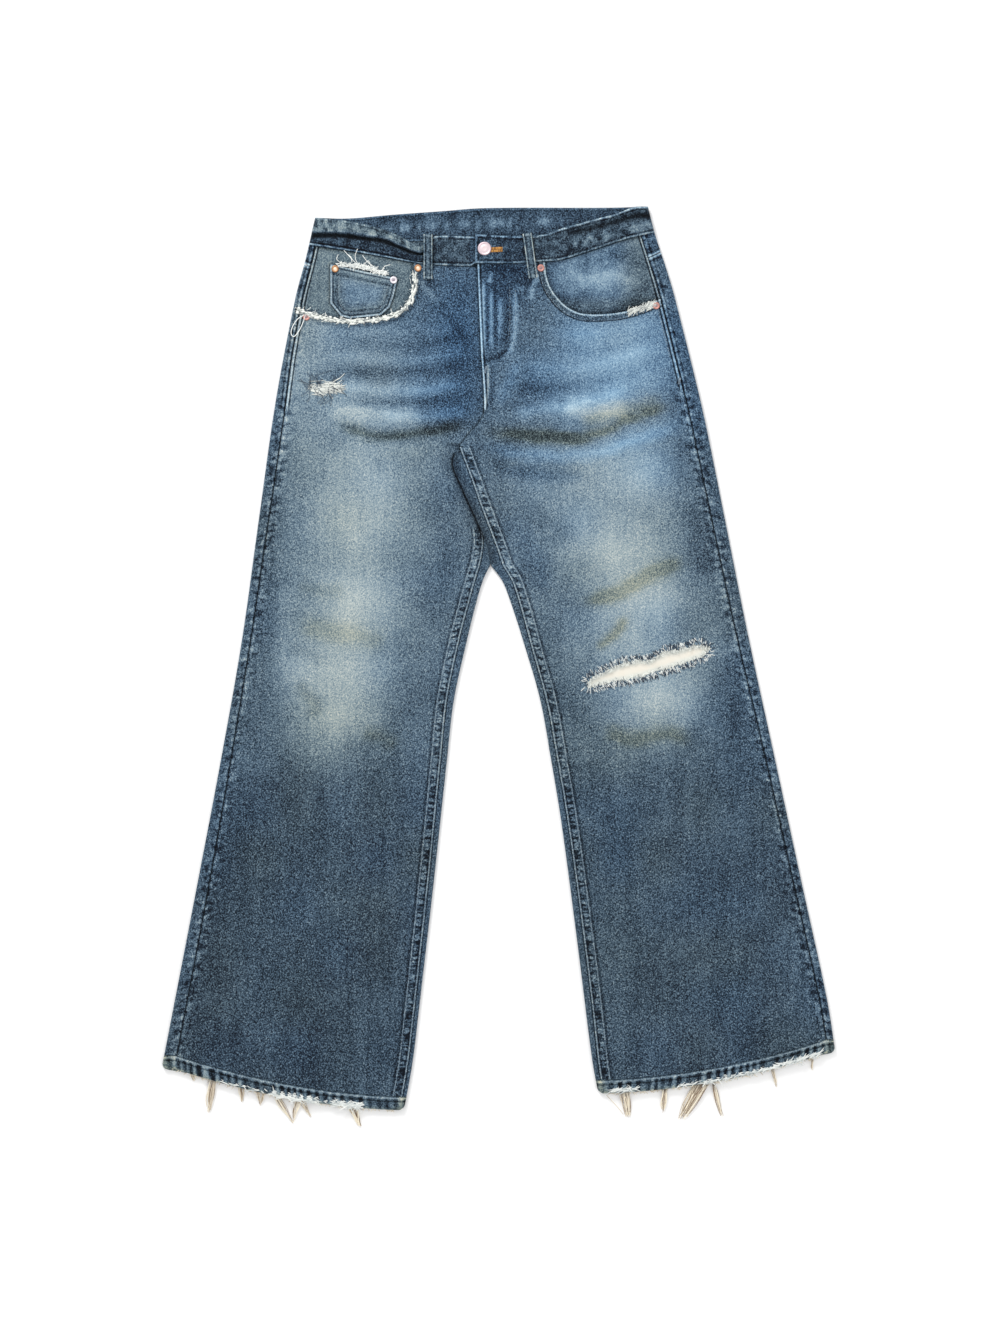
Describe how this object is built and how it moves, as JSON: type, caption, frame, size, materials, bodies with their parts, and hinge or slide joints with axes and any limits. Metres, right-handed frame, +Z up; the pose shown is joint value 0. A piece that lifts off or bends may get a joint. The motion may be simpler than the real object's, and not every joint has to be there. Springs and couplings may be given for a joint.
{
  "type": "ripped jeans",
  "caption": "Flared blue denim trousers with a buttoned waist, worn pockets, a ripped knee and frayed hems, laid flat on their back.",
  "frame": {"origin": "under the middle of the garment's box, on the surface that it lies on", "axes": "+Y from the hems to the waist, +Z up out of the surface, +X towards the wearer's left leg"},
  "size_m": [0.8412, 1.1504, 0.0149],
  "materials": {
    "denim": "matte",
    "dark_denim": "matte",
    "faded_denim": "matte",
    "cream_cotton": "matte",
    "frayed_cotton": "matte",
    "copper": "satin",
    "pale_copper": "satin"
  },
  "bodies": {
    "root": {"front_right": "denim", "front_left": "denim", "back_right": "dark_denim", "back_left": "dark_denim", "yoke_right": "denim", "yoke_left": "denim", "waistband": "denim", "pocket_facing_right": "faded_denim", "pocket_facing_left": "faded_denim", "coin_pocket": "faded_denim", "fly_facing": "denim", "back_pocket_right": "dark_denim", "back_pocket_left": "dark_denim", "hem_right": "dark_denim", "hem_left": "dark_denim", "belt_loop_front_right": "dark_denim", "belt_loop_front_left": "dark_denim", "belt_loop_back_right": "dark_denim", "belt_loop_back_centre": "dark_denim", "belt_loop_back_left": "dark_denim", "knee_backing": "cream_cotton", "hem_fringe_right": "frayed_cotton", "hem_fringe_left": "frayed_cotton", "button": "pale_copper", "rivet_coin_outer": "copper", "rivet_coin_inner": "copper", "rivet_right_pocket_inner": "copper", "rivet_right_pocket_outer": "copper", "rivet_left_pocket_inner": "copper", "rivet_left_pocket_outer": "copper"}
  },
  "joints": []
}
